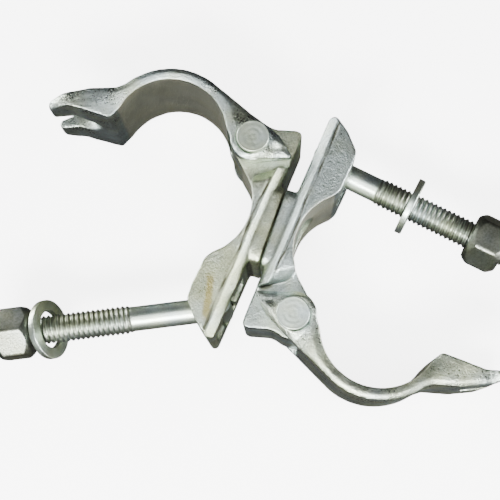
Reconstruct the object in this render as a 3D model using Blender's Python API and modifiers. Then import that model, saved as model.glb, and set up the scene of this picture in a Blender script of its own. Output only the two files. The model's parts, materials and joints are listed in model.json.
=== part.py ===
"""Swivel scaffold coupler for 48.3 mm tube, lying on its side.

Two equal half couplers stand back to back on one swivel rivet. Each half is a forged saddle,
a hinged flap on a rivet, and a T-bolt with a washer and a nut. The tubes would run along Z,
the swivel axis is X, half A is on the -X side and half B on the +X side.

Every half is designed once in its own half frame: u points from the interface plane out to
the tube, v from the bolt end to the hinge end, w along the tube.
"""
import math

import bmesh
import bpy
from mathutils import Matrix, Vector

MM = 0.001
GAP = 0.3 * MM              # gap between pieces that touch on the real coupler

# Tube seat
TUBE_DIAMETER = 48.3 * MM
SEAT_CLEARANCE = 0.25 * MM  # seat radius over tube radius
SEAT_FLOOR = 10.6 * MM      # interface plane to the deepest line of the seat
HALF_WIDTH = 22.5 * MM      # half the length of the coupler along the tube

# Swivel
PAD_HALF_LENGTH = 17.6 * MM  # the square pad each saddle turns on, along v
PAD_HALF_WIDTH = 20.0 * MM  # along w
PAD_CORNER = 5.0 * MM
PAD_FACE = 0.25 * MM        # interface plane to the face of the pad
SWIVEL_SHANK_RADIUS = 8.0 * MM
SWIVEL_HEAD_RADIUS = 12.0 * MM
SWIVEL_HEAD_HEIGHT = 2.9 * MM

# Saddle
BACK_AT_CENTRE = 4.1 * MM   # interface plane to the back face, at the swivel axis
BACK_SLOPE = math.radians(3.4)
CHEEK_HEIGHT = 12.5 * MM    # seat floor to the outer face of the cheeks
TIP_LENGTH = 16.6 * MM      # bolt line to the end of the saddle
TONGUE_HALF_WIDTH = 16.0 * MM
TONGUE_REACH = 11.2 * MM    # hinge axis to the end face of the tongue, along v
BACK_BEVEL_DEPTH = 3.3 * MM
BACK_BEVEL_WIDTH = 4.0 * MM

# Hinge rivet
HINGE_WALL = 11.35 * MM     # seat surface to the hinge axis
HINGE_ANGLE = math.radians(114.6)
HINGE_SHANK_RADIUS = 5.5 * MM
HINGE_HEAD_RADIUS = 6.8 * MM
HINGE_HEAD_HEIGHT = 1.5 * MM

# Flap
EAR_RADIUS = 9.8 * MM
NOSE_REACH = 18.9 * MM      # hinge axis to the nose of the ears
NOSE_ANGLE = math.radians(138.5)
STRAP_THICKNESS = 5.3 * MM
FORK_RISE = 4.7 * MM        # crest of the fork over the outer face of the strap
FORK_REACH = 7.0 * MM       # bolt line to the fork tips
FORK_SQUARENESS = 4.2       # 2 gives an elliptical fork, more keeps its sides straight for longer
FLAP_A_OPENING = math.radians(49.0)
FLAP_B_OPENING = math.radians(54.5)

# T-bolt, washer and nut
BOLT_DIAMETER = 12.2 * MM
SHANK_DIAMETER = 10.6 * MM
BOLT_LENGTH = 99.0 * MM     # T-bar axis to the end of the thread
THREAD_START_A = 39.0 * MM  # T-bar axis to the first thread
THREAD_START_B = 27.0 * MM
BOLT_TO_TUBE = 7.0 * MM     # tube surface to the side of the bolt
T_BAR_DEPTH = 0.1 * MM      # seat floor to the T-bar axis, towards the interface
T_BAR_DIAMETER = 9.5 * MM
T_BAR_HALF_LENGTH = 14.5 * MM
WINDOW_CLEARANCE = 0.9 * MM
BOLT_A_SWING = math.radians(-26.4)
BOLT_B_SWING = math.radians(7.8)
WASHER_DIAMETER = 25.4 * MM
WASHER_THICKNESS = 3.0 * MM
WASHER_CLEARANCE = 1.85 * MM  # hole radius over bolt radius, room for the washer to lean
WASHER_A_TILT = math.radians(24.0)
WASHER_B_AT = 40.2 * MM     # T-bar axis to the inner face of the washer
NUT_ACROSS_FLATS = 21.0 * MM
NUT_ACROSS_CORNERS = 23.7 * MM
NUT_HEIGHT = 15.0 * MM
NUT_FACE_RADIUS = 9.4 * MM  # radius of the flat ring left by the end chamfers
NUT_CHAMFER_LENGTH = 3.0 * MM
NUT_BORE_CLEARANCE = 0.3 * MM
NUT_A_AT = 81.0 * MM        # T-bar axis to the inner face of the nut
NUT_B_AT = 70.3 * MM

# Sizes that follow
SEAT_RADIUS = TUBE_DIAMETER / 2 + SEAT_CLEARANCE
TUBE_U = SEAT_FLOOR + SEAT_RADIUS
CHEEK_U = SEAT_FLOOR + CHEEK_HEIGHT
BOLT_V = -(TUBE_DIAMETER / 2 + BOLT_TO_TUBE + BOLT_DIAMETER / 2)
T_BAR_U = SEAT_FLOOR - T_BAR_DEPTH
TIP_V = BOLT_V - TIP_LENGTH
HINGE_U = TUBE_U + (SEAT_RADIUS + HINGE_WALL) * math.cos(HINGE_ANGLE)
HINGE_V = (SEAT_RADIUS + HINGE_WALL) * math.sin(HINGE_ANGLE)
STRAP_RADIUS = SEAT_RADIUS + STRAP_THICKNESS
FORK_CREST = STRAP_RADIUS + FORK_RISE
SLOT_HALF_WIDTH = BOLT_DIAMETER / 2 + WINDOW_CLEARANCE
HEAD_TOP = HALF_WIDTH + GAP + HINGE_HEAD_HEIGHT
FAR = 0.2                   # longer than any piece, for cutters that run right through

# Half frame to world: half A faces -X, half B faces +X
HALF_A = Matrix(((-1, 0, 0), (0, 1, 0), (0, 0, -1))).to_4x4()
HALF_B = Matrix(((1, 0, 0), (0, -1, 0), (0, 0, -1))).to_4x4()


# ---------------------------------------------------------------- scene and helpers

def empty_scene():
    for obj in list(bpy.data.objects):
        bpy.data.objects.remove(obj)


def new_collection(name):
    collection = bpy.data.collections.new(name)
    bpy.context.scene.collection.children.link(collection)
    return collection


def arc(centre, radius, start, end, steps):
    """Points on an arc from the start angle to the end angle, in degrees."""
    points = []
    for i in range(steps + 1):
        angle = math.radians(start + (end - start) * i / steps)
        points.append((centre[0] + radius * math.cos(angle), centre[1] + radius * math.sin(angle)))
    return points


def fillet(before, corner, after, radius, steps=4):
    """The rounded corner between two straight edges."""
    here = Vector(corner)
    back = (Vector(before) - here).normalized()
    ahead = (Vector(after) - here).normalized()
    half = back.angle(ahead) / 2
    reach = radius / math.tan(half)
    centre = here + (back + ahead).normalized() * radius / math.sin(half)
    first = here + back * reach - centre
    last = here + ahead * reach - centre
    turn = first.angle_signed(last)
    points = []
    for i in range(steps + 1):
        spoke = first.copy()
        spoke.rotate(Matrix.Rotation(-turn * i / steps, 2))
        points.append(tuple(centre + spoke))
    return points


def rounded(corners, before, after):
    """A run of corners (x, y, radius) as points; before and after are its neighbours."""
    path = [before] + [c[:2] for c in corners] + [after]
    points = []
    for i, (x, y, radius) in enumerate(corners):
        if radius:
            points += fillet(path[i], (x, y), path[i + 2], radius)
        else:
            points.append((x, y))
    return points


def slab(name, points, half_thickness, collection):
    """A flat outline in the u-v plane, thickened both ways along w, as a closed mesh."""
    curve = bpy.data.curves.new(name, 'CURVE')
    curve.dimensions = '2D'
    curve.fill_mode = 'BOTH'
    curve.extrude = half_thickness
    spline = curve.splines.new('POLY')
    spline.points.add(len(points) - 1)
    for point, (x, y) in zip(spline.points, points):
        point.co = (x, y, 0, 1)
    spline.use_cyclic_u = True
    drawn = bpy.data.objects.new(name + '_outline', curve)
    collection.objects.link(drawn)
    bpy.context.view_layer.update()
    mesh = bpy.data.meshes.new_from_object(drawn.evaluated_get(bpy.context.evaluated_depsgraph_get()))
    bpy.data.objects.remove(drawn)
    weld(mesh)
    return place(name, mesh, collection)


def weld(mesh):
    shape = bmesh.new()
    shape.from_mesh(mesh)
    bmesh.ops.remove_doubles(shape, verts=shape.verts, dist=1e-7)
    bmesh.ops.recalc_face_normals(shape, faces=shape.faces)
    shape.to_mesh(mesh)
    shape.free()


def place(name, mesh, collection):
    obj = bpy.data.objects.new(name, mesh)
    collection.objects.link(obj)
    return obj


def cylinder(name, radius, start, end, axis, collection, at=(0, 0, 0), sides=48, top=None):
    """A closed cylinder or cone from start to end along an axis through a point."""
    shape = bmesh.new()
    turn = Vector((0, 0, 1)).rotation_difference(Vector(axis)).to_matrix().to_4x4()
    middle = Matrix.Translation(Vector(at)) @ turn @ Matrix.Translation((0, 0, (start + end) / 2))
    bmesh.ops.create_cone(shape, cap_ends=True, segments=sides, radius1=radius,
                          radius2=radius if top is None else top, depth=end - start, matrix=middle)
    mesh = bpy.data.meshes.new(name)
    shape.to_mesh(mesh)
    shape.free()
    return place(name, mesh, collection)


def block(name, low, high, collection):
    """A box between two corners."""
    size = Vector(high) - Vector(low)
    middle = (Vector(high) + Vector(low)) / 2
    shape = bmesh.new()
    bmesh.ops.create_cube(shape, size=1, matrix=Matrix.Translation(middle) @ Matrix.Diagonal((*size, 1)))
    mesh = bpy.data.meshes.new(name)
    shape.to_mesh(mesh)
    shape.free()
    return place(name, mesh, collection)


def turned(name, profile, collection, sides=48):
    """A solid of revolution about w; the profile runs down its outer side from top to bottom."""
    mesh = bpy.data.meshes.new(name)
    edges = [(i, i + 1) for i in range(len(profile) - 1)]
    mesh.from_pydata([(r, 0, w) for r, w in profile], edges, [])
    obj = place(name, mesh, collection)
    screw = obj.modifiers.new('turn', 'SCREW')
    screw.axis = 'Z'
    screw.steps = sides
    screw.render_steps = sides
    screw.use_merge_vertices = True
    screw.merge_threshold = 1e-5
    return obj


def combine(obj, other, operation):
    """A live Boolean; the other object is kept as a hidden guide."""
    boolean = obj.modifiers.new(operation.lower() + '_' + other.name, 'BOOLEAN')
    boolean.operation = operation
    boolean.solver = 'EXACT'
    boolean.object = other
    hide(other)


def hide(obj):
    obj.hide_render = True
    obj.display_type = 'WIRE'


def finished_mesh(obj, crease=30):
    """The evaluated shape as a mesh of its own, shaded by its angles."""
    bpy.context.view_layer.update()
    evaluated = obj.evaluated_get(bpy.context.evaluated_depsgraph_get())
    mesh = bpy.data.meshes.new_from_object(evaluated)
    mesh.name = obj.name.replace('_blank', '')
    mesh.shade_smooth()
    mesh.set_sharp_from_angle(angle=math.radians(crease))
    hide(obj)
    return mesh


def finish(name, colour, roughness):
    material = bpy.data.materials.new(name)
    material.use_nodes = True
    shader = material.node_tree.nodes['Principled BSDF']
    shader.inputs['Base Color'].default_value = (*colour, 1)
    shader.inputs['Roughness'].default_value = roughness
    shader.inputs['Metallic'].default_value = 1.0
    return material


def piece(name, mesh, matrix, material, collection):
    """One sub-part: a mesh shared with its twin, placed by its matrix."""
    obj = place(name, mesh, collection)
    obj.matrix_world = matrix
    mesh.materials.clear()
    mesh.materials.append(material)


# ---------------------------------------------------------------- saddle

def back_u(v):
    """The sloping back face of the saddle."""
    return BACK_AT_CENTRE - v * math.tan(BACK_SLOPE)


def saddle_outline():
    """The side view: seat, cheeks, tip, back, tongue and hinge lug."""
    tube = (TUBE_U, 0)
    hinge = (HINGE_U, HINGE_V)
    seat = arc(tube, SEAT_RADIUS, 128, 232, 28)
    lug = arc(hinge, EAR_RADIUS, 95, -62, 14)
    corner_v = seat[-1][1] - 3.2 * MM
    tongue_end = HINGE_V + TONGUE_REACH
    cheek = rounded([
        (CHEEK_U - 1.2 * MM, corner_v, 2.0 * MM),
        (CHEEK_U, BOLT_V + 3.5 * MM, 6 * MM),
        (CHEEK_U - 0.1 * MM, BOLT_V - 3.6 * MM, 2.5 * MM),
        (CHEEK_U - 6.2 * MM, BOLT_V - 10.6 * MM, 6 * MM),
        (back_u(TIP_V) + 1.9 * MM, TIP_V, 2.0 * MM),
        (back_u(TIP_V), TIP_V + 2.0 * MM, 0),
    ], seat[-1], (BACK_AT_CENTRE, 0))
    tongue = rounded([
        (1.9 * MM, HINGE_V - 8 * MM, 0),
        (1.0 * MM, tongue_end - 0.2 * MM, 2.4 * MM),
        (4.5 * MM, tongue_end - 0.4 * MM, 0),
        (HINGE_U - 6.5 * MM, tongue_end - 2.9 * MM, 6 * MM),
    ], (BACK_AT_CENTRE, 0), lug[0])
    return seat + cheek + tongue + lug


def saddle_blank(collection):
    saddle = slab('saddle_blank', saddle_outline(), HALF_WIDTH, collection)
    for side in (-1, 1):
        combine(saddle, tongue_side_cutter(side, collection), 'DIFFERENCE')
        combine(saddle, back_bevel_cutter(side, collection), 'DIFFERENCE')
    combine(saddle, swivel_pad(collection), 'UNION')
    for cutter in window_cutters(collection) + rivet_hole_cutters(collection):
        combine(saddle, cutter, 'DIFFERENCE')
    return saddle


def swivel_pad(collection):
    """The rounded square pad on the back; it turns against the other saddle's."""
    corners = [(x * PAD_HALF_LENGTH, y * PAD_HALF_WIDTH, PAD_CORNER)
               for x, y in ((-1, -1), (1, -1), (1, 1), (-1, 1))]
    root = back_u(0) + 2.5 * MM
    pad = slab('swivel_pad', rounded(corners, corners[-1][:2], corners[0][:2]), (root - PAD_FACE) / 2,
               collection)
    stand_up = Matrix(((0, 0, 1), (1, 0, 0), (0, 1, 0))).to_4x4()
    pad.matrix_world = Matrix.Translation(((root + PAD_FACE) / 2, 0, 0)) @ stand_up
    return pad


def tongue_side_cutter(side, collection):
    """Takes the saddle down to the tongue's width beside the ears of the flap."""
    seat_end = arc((TUBE_U, 0), SEAT_RADIUS, 149, 149, 1)[0]
    edge = [
        (-FAR, HINGE_V - 5.5 * MM),
        (2.2 * MM, HINGE_V - 6.3 * MM),
        (8.5 * MM, HINGE_V - 9.9 * MM),
        (12.5 * MM, HINGE_V - 12.4 * MM),
        (seat_end[0] + 0.7 * MM, seat_end[1] + 4.4 * MM),
        (seat_end[0] + 0.6 * MM, seat_end[1] + 1.0 * MM),
        (FAR, seat_end[1] - 1.5 * MM),
        (FAR, FAR),
        (-FAR, FAR),
    ]
    depth = 15 * MM
    cutter = slab('tongue_side_%s' % ('low' if side < 0 else 'high'), edge, depth, collection)
    cutter.location.z = side * (TONGUE_HALF_WIDTH + depth)
    return cutter


def back_bevel_cutter(side, collection):
    """A wedge that takes off the long edge between the side face and the back face."""
    name = 'back_bevel_%s' % ('low' if side < 0 else 'high')
    rise = 1.5 * MM
    wedge = [(-rise, HALF_WIDTH + rise), (-rise, HALF_WIDTH - BACK_BEVEL_WIDTH - rise),
             (BACK_BEVEL_DEPTH + rise, HALF_WIDTH + rise)]
    cutter = slab(name, wedge, FAR / 2, collection)
    lay_along_v = Matrix.Rotation(math.radians(90), 4, 'X')
    slope = Matrix.Rotation(BACK_SLOPE, 4, 'Z')
    mirror = Matrix.Rotation(math.radians(0 if side > 0 else 180), 4, 'X')
    cutter.matrix_world = Matrix.Translation((BACK_AT_CENTRE, 0, 0)) @ slope @ mirror @ lay_along_v
    return cutter


def window_cutters(collection):
    """The slot for the bolt, and the pocket behind it for the T-bar."""
    window_end = TIP_V + 4.3 * MM
    window_start = BOLT_V + BOLT_DIAMETER / 2 + 8 * MM
    window = block('bolt_window', (-FAR, window_end, -SLOT_HALF_WIDTH),
                   (FAR, window_start, SLOT_HALF_WIDTH), collection)
    across = T_BAR_DIAMETER / 2 + 0.5 * MM
    along = T_BAR_HALF_LENGTH + 1.2 * MM
    pocket = block('t_bar_pocket', (-FAR, BOLT_V - across, -along),
                   (T_BAR_U, BOLT_V + across, along), collection)
    floor = cylinder('t_bar_pocket_floor', across, -along, along, (0, 0, 1), collection,
                     at=(T_BAR_U, BOLT_V, 0))
    return [window, pocket, floor]


def rivet_hole_cutters(collection):
    """The swivel rivet's stepped hole and the hinge rivet's hole."""
    shank = cylinder('swivel_hole', SWIVEL_SHANK_RADIUS + GAP, -FAR, FAR, (1, 0, 0), collection)
    seat_for_head = SEAT_FLOOR - SWIVEL_HEAD_HEIGHT - 2 * GAP - 0.3 * MM
    head = cylinder('swivel_head_recess', SWIVEL_HEAD_RADIUS + GAP, seat_for_head, FAR, (1, 0, 0),
                    collection)
    hinge = cylinder('hinge_hole', HINGE_SHANK_RADIUS + GAP, -FAR, FAR, (0, 0, 1), collection,
                     at=(HINGE_U, HINGE_V, 0))
    return [shank, head, hinge]


# ---------------------------------------------------------------- flap

def flap_outline():
    """The side view, closed on the tube: ears, strap and forked toe."""
    tube = (TUBE_U, 0)
    hinge = (HINGE_U, HINGE_V)
    inner = arc(tube, SEAT_RADIUS, 104, -38, 30)
    outer = arc(tube, STRAP_RADIUS, -17, 64, 20)
    lug = arc(hinge, EAR_RADIUS, 178, 296, 12)
    crest_u = TUBE_U + FORK_CREST
    tip_v = BOLT_V - FORK_REACH
    root_v = inner[-1][1] - 5.6 * MM
    toe = rounded([
        (inner[-1][0] - 2.7 * MM, root_v, 1.4 * MM),
        (crest_u - 6.3 * MM, BOLT_V + 2 * MM, 8 * MM),
        (crest_u - 3.6 * MM, tip_v, 1.6 * MM),
        (crest_u - 0.3 * MM, tip_v + 1.4 * MM, 2.2 * MM),
        (crest_u, BOLT_V + 2.5 * MM, 8 * MM),
        (crest_u - 2.0 * MM, BOLT_V + 13 * MM, 8 * MM),
        (outer[0][0] - 0.2 * MM, outer[0][1] - 4.5 * MM, 4 * MM),
    ], inner[-1], outer[0])
    nose = (HINGE_U + NOSE_REACH * math.cos(NOSE_ANGLE), HINGE_V + NOSE_REACH * math.sin(NOSE_ANGLE))
    ear = rounded([
        (HINGE_U - 3.0 * MM, HINGE_V + 10.9 * MM, 8 * MM),
        (nose[0], nose[1], 1.0 * MM),
        (HINGE_U - 11.2 * MM, HINGE_V + 4.0 * MM, 5 * MM),
    ], outer[-1], lug[0])
    return inner + toe + outer + ear + lug


def flap_blank(collection):
    flap = slab('flap_blank', flap_outline(), HALF_WIDTH, collection)
    for cutter in [ear_gap_cutter(collection), fork_slot_cutter(collection)]:
        combine(flap, cutter, 'DIFFERENCE')
    combine(flap, fork_plan(collection), 'INTERSECT')
    hole = cylinder('ear_holes', HINGE_SHANK_RADIUS + GAP, -FAR, FAR, (0, 0, 1), collection,
                    at=(HINGE_U, HINGE_V, 0))
    combine(flap, hole, 'DIFFERENCE')
    return flap


def ear_gap_cutter(collection):
    """Opens the space between the ears for the tongue, clear at every opening angle."""
    root = arc((HINGE_U, HINGE_V), 12.6 * MM, 0, 360, 36)
    half = TONGUE_HALF_WIDTH + GAP
    lug_room = slab('lug_room', root[:-1], half, collection)
    nose_room = block('nose_room', (HINGE_U - 30 * MM, HINGE_V - 12.6 * MM, -half + 1e-5),
                      (HINGE_U, HINGE_V + 24 * MM, half - 1e-5), collection)
    combine(lug_room, nose_room, 'UNION')
    return lug_room


def fork_slot_cutter(collection):
    """The open slot that the bolt swings into."""
    root = BOLT_V + BOLT_DIAMETER / 2 + 5.2 * MM
    half = SLOT_HALF_WIDTH
    straight = block('fork_slot', (TUBE_U, -FAR, -half), (FAR, root - half, half), collection)
    round_end = cylinder('fork_slot_end', half, TUBE_U, FAR, (1, 0, 0), collection,
                         at=(0, root - half, 0))
    combine(straight, round_end, 'UNION')
    return straight


def fork_plan(collection):
    """The rounded outline of the fork seen along the bolt."""
    root = -14.0 * MM
    length = root - (BOLT_V - FORK_REACH) + 1.2 * MM
    wide = HALF_WIDTH + 0.8 * MM
    power = 2 / FORK_SQUARENESS
    bow = []
    for i in range(33):
        angle = math.radians(180 + 180 * i / 32)
        across = math.copysign(abs(math.cos(angle)) ** power, math.cos(angle))
        bow.append((wide * across, root - length * abs(math.sin(angle)) ** power))
    plan = [(wide, FAR), (-wide, FAR)] + bow
    outline = slab('fork_plan', plan, FAR, collection)
    outline.matrix_world = Matrix.Rotation(math.radians(-90), 4, 'Y')
    return outline


# ---------------------------------------------------------------- rivets and fasteners

def hinge_rivet_blank(collection):
    """A straight shank with a low flat head riveted over at each end."""
    shank_end = HALF_WIDTH + GAP
    edge = 0.4 * MM
    half = [(0, HEAD_TOP), (HINGE_HEAD_RADIUS - edge, HEAD_TOP), (HINGE_HEAD_RADIUS, HEAD_TOP - edge),
            (HINGE_HEAD_RADIUS, shank_end), (HINGE_SHANK_RADIUS, shank_end)]
    profile = half + [(r, -w) for r, w in reversed(half)]
    return turned('hinge_rivet_blank', profile, collection)


def swivel_rivet_blank(collection):
    """The centre rivet, both heads sunk in the saddles."""
    top = SEAT_FLOOR - GAP - 0.3 * MM
    under = top - SWIVEL_HEAD_HEIGHT
    edge = 0.6 * MM
    half = [(0, top), (SWIVEL_HEAD_RADIUS - edge, top), (SWIVEL_HEAD_RADIUS, top - edge),
            (SWIVEL_HEAD_RADIUS, under), (SWIVEL_SHANK_RADIUS, under)]
    profile = half + [(r, -w) for r, w in reversed(half)]
    return turned('swivel_rivet_blank', profile, collection)


def t_bolt_blank(name, thread_start, collection):
    """T-bar, plain shank and threaded length; the bolt runs along u from the T-bar axis."""
    thread = BOLT_DIAMETER / 2
    shank = SHANK_DIAMETER / 2
    run_out = 1.5 * MM
    profile = [(0, BOLT_LENGTH), (thread - 1.2 * MM, BOLT_LENGTH), (thread, BOLT_LENGTH - 1.2 * MM),
               (thread, thread_start), (shank, thread_start - run_out), (shank, 0), (0, 0)]
    bolt = turned(name, profile, collection, sides=40)
    mesh = finished_mesh(bolt)
    mesh.transform(Matrix.Rotation(math.radians(90), 4, 'Y'))
    weld(mesh)
    blank = place(name + '_blank', mesh, collection)
    bar = cylinder(name + '_bar', T_BAR_DIAMETER / 2, -T_BAR_HALF_LENGTH, T_BAR_HALF_LENGTH, (0, 0, 1),
                   collection, sides=32)
    combine(blank, bar, 'UNION')
    return blank


def washer_blank(collection):
    inner = BOLT_DIAMETER / 2 + WASHER_CLEARANCE
    outer = WASHER_DIAMETER / 2
    half = WASHER_THICKNESS / 2
    edge = 0.4 * MM
    profile = [(inner, half), (outer - edge, half), (outer, half - edge), (outer, edge - half),
               (outer - edge, -half), (inner, -half), (inner, half)]
    return turned('washer_blank', profile, collection)


def nut_blank(collection):
    """A hexagon chamfered at both ends, with a plain bore that clears the thread."""
    nut = cylinder('nut_blank', NUT_ACROSS_FLATS / math.sqrt(3), -NUT_HEIGHT / 2, NUT_HEIGHT / 2,
                   (0, 0, 1), collection, sides=6)
    wide = NUT_ACROSS_CORNERS / 2
    half = NUT_HEIGHT / 2 + 0.01 * MM
    side = half - NUT_CHAMFER_LENGTH
    cone = turned('nut_chamfer', [(0, half), (NUT_FACE_RADIUS, half), (wide, side), (wide, -side),
                                  (NUT_FACE_RADIUS, -half), (0, -half)], collection, sides=60)
    bore = cylinder('nut_bore', BOLT_DIAMETER / 2 + NUT_BORE_CLEARANCE, -FAR, FAR, (0, 0, 1),
                    collection, sides=40)
    combine(nut, cone, 'INTERSECT')
    combine(nut, bore, 'DIFFERENCE')
    return nut


# ---------------------------------------------------------------- assembly

def about_axis(u, v, angle):
    """A turn about an axis along w through (u, v)."""
    there = Matrix.Translation((u, v, 0))
    return there @ Matrix.Rotation(angle, 4, 'Z')


def on_hinge(opening):
    """The flap's frame: its origin is on the hinge axis."""
    return about_axis(HINGE_U, HINGE_V, opening)


def on_bolt(swing, distance, spin=0.0):
    """A frame on the bolt's axis, its own w along the bolt."""
    along = Matrix.Rotation(math.radians(90), 4, 'Y')
    return (about_axis(T_BAR_U, BOLT_V, swing) @ Matrix.Translation((distance, 0, 0)) @ along
            @ Matrix.Rotation(spin, 4, 'Z'))


def leaning_washer(swing, nut_at):
    """Where a washer's rim touches the nut's inner face, with the washer centred on the bolt."""
    half = WASHER_THICKNESS / 2
    lean = math.cos(WASHER_A_TILT) * WASHER_DIAMETER / 2 - math.sin(WASHER_A_TILT) * half
    touch = on_bolt(swing, nut_at - GAP) @ Matrix.Translation((lean, 0, 0))
    return touch @ Matrix.Rotation(-WASHER_A_TILT, 4, 'Y')


def square_washer(swing, distance):
    """A washer square on the bolt, its inner face at a distance from the T-bar axis."""
    return on_bolt(swing, distance) @ Matrix.Translation((WASHER_DIAMETER / 2, 0, WASHER_THICKNESS))


def lay_down(collection):
    """Rest the coupler on its lower rivet heads, its box centred over the origin."""
    bpy.context.view_layer.update()
    corners = [obj.matrix_world @ vertex.co for obj in collection.objects for vertex in obj.data.vertices]
    centre = [(min(c[axis] for c in corners) + max(c[axis] for c in corners)) / 2 for axis in (0, 1)]
    shift = Matrix.Translation((-centre[0], -centre[1], HEAD_TOP))
    for obj in collection.objects:
        obj.matrix_world = shift @ obj.matrix_world


def build():
    empty_scene()
    parts = new_collection('scaffold_coupler')
    cutters = new_collection('cutters')
    zinc = finish('galvanised_forging', (0.62, 0.65, 0.63), 0.42)
    flap_zinc = finish('galvanised_flap', (0.58, 0.61, 0.59), 0.44)
    rivet = finish('rivet_steel', (0.60, 0.62, 0.58), 0.45)
    zinc_plate = finish('zinc_plated_bolt', (0.60, 0.64, 0.62), 0.32)
    washer_steel = finish('washer_steel', (0.64, 0.66, 0.62), 0.36)
    nut_steel = finish('nut_steel', (0.45, 0.45, 0.44), 0.38)

    saddle = finished_mesh(saddle_blank(cutters))
    flap = finished_mesh(flap_blank(cutters))
    flap.transform(Matrix.Translation((-HINGE_U, -HINGE_V, 0)))
    hinge_rivet = finished_mesh(hinge_rivet_blank(cutters))
    washer = finished_mesh(washer_blank(cutters))
    washer.transform(Matrix.Translation((-WASHER_DIAMETER / 2, 0, -WASHER_THICKNESS / 2)))
    nut = finished_mesh(nut_blank(cutters))
    bolts = {
        'a': finished_mesh(t_bolt_blank('t_bolt_a_turned', THREAD_START_A, cutters)),
        'b': finished_mesh(t_bolt_blank('t_bolt_b_turned', THREAD_START_B, cutters)),
    }
    halves = {
        'a': (HALF_A, FLAP_A_OPENING, BOLT_A_SWING, NUT_A_AT, 0.0),
        'b': (HALF_B, FLAP_B_OPENING, BOLT_B_SWING, NUT_B_AT, math.radians(30)),
    }
    washers = {
        'a': leaning_washer(BOLT_A_SWING, NUT_A_AT),
        'b': square_washer(BOLT_B_SWING, WASHER_B_AT),
    }
    for letter, (half, opening, swing, nut_at, spin) in halves.items():
        piece('saddle_' + letter, saddle, half, zinc, parts)
        piece('flap_' + letter, flap, half @ on_hinge(opening), flap_zinc, parts)
        piece('hinge_rivet_' + letter, hinge_rivet, half @ on_hinge(0), rivet, parts)
        piece('t_bolt_' + letter, bolts[letter], half @ about_axis(T_BAR_U, BOLT_V, swing), zinc_plate,
              parts)
        piece('washer_' + letter, washer, half @ washers[letter], washer_steel, parts)
        piece('nut_' + letter, nut, half @ on_bolt(swing, nut_at + NUT_HEIGHT / 2, spin), nut_steel, parts)
    swivel = finished_mesh(swivel_rivet_blank(cutters))
    piece('swivel_rivet', swivel, Matrix.Rotation(math.radians(90), 4, 'Y'), rivet, parts)
    lay_down(parts)


build()
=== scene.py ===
import json
import math

import bmesh
import bpy
import numpy as np
from mathutils import Matrix, Vector, kdtree, noise


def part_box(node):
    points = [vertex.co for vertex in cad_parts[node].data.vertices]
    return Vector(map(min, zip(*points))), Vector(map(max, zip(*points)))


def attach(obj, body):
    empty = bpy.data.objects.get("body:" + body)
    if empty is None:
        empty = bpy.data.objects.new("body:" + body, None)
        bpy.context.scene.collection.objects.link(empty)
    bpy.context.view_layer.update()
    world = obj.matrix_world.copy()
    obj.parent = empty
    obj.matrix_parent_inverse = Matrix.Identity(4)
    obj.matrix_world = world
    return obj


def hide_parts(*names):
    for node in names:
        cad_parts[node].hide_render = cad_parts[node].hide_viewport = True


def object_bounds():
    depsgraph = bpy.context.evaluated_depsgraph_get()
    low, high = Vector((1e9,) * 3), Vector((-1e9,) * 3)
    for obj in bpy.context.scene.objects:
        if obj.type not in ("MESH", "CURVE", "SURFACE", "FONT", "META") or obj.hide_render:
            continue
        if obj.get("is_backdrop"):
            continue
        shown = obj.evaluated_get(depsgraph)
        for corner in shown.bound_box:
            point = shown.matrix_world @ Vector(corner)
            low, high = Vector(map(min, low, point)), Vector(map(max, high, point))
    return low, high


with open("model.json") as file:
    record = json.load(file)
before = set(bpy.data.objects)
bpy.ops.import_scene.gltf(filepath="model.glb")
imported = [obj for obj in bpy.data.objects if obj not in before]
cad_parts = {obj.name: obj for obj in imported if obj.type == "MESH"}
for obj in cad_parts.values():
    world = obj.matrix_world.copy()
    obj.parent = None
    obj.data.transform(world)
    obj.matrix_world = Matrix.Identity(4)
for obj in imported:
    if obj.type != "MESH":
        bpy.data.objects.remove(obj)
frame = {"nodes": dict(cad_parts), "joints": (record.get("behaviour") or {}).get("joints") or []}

cad_low, cad_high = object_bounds()

# ------------------------------------------------------------------ the two saddles
# The saddles are one drop forging made twice and hot-dip galvanised. Each is a block hollowed for
# the tube, with a slot for the bolt at one end and a tongue for the hinge at the other.
# A forging has no sharp edge: it is remade as an even skin, softened, and given its pressed creases.

MM = 0.001
SAME_POINT = 1e-6           # corners closer than this are one
joints = {joint['name']: joint for joint in frame['joints']}
swivel = Vector(joints['swivel']['pos_m'])

# In a half's own frame x runs out from the swivel to the tube, y from the bolt to the hinge, and
# z along the tube. Half A faces -X and half B faces +X.
halves = {
    'a': Matrix.Translation(swivel) @ Matrix.Diagonal((-1, 1, -1, 1)),
    'b': Matrix.Translation(swivel) @ Matrix.Diagonal((1, -1, -1, 1)),
}


def with_modifiers(mesh, steps):
    """The mesh after a list of (modifier, settings), as a mesh of its own."""
    blank = bpy.data.objects.new('blank', mesh)
    bpy.context.scene.collection.objects.link(blank)
    for kind, settings in steps:
        modifier = blank.modifiers.new(kind.lower(), kind)
        for setting, value in settings.items():
            setattr(modifier, setting, value)
    evaluated = blank.evaluated_get(bpy.context.evaluated_depsgraph_get())
    result = bpy.data.meshes.new_from_object(evaluated)
    bpy.data.objects.remove(blank)
    return result


def forging_skin(node, place, grain, softening):
    """An even, softened skin over a CAD solid, in the frame that place leads out of."""
    mesh = frame['nodes'][node].data.copy()
    mesh.materials.clear()
    mesh.transform(place.inverted())
    shape = bmesh.new()
    shape.from_mesh(mesh)
    bmesh.ops.remove_doubles(shape, verts=shape.verts, dist=SAME_POINT)
    shape.to_mesh(mesh)
    shape.free()
    return with_modifiers(mesh, [
        ('REMESH', {'mode': 'VOXEL', 'voxel_size': grain}),
        ('SMOOTH', {'factor': 0.5, 'iterations': softening}),
    ])


def points_of(mesh):
    points = np.empty(len(mesh.vertices) * 3, np.float32)
    mesh.vertices.foreach_get('co', points)
    return points.reshape(-1, 3).astype(float)


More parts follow.
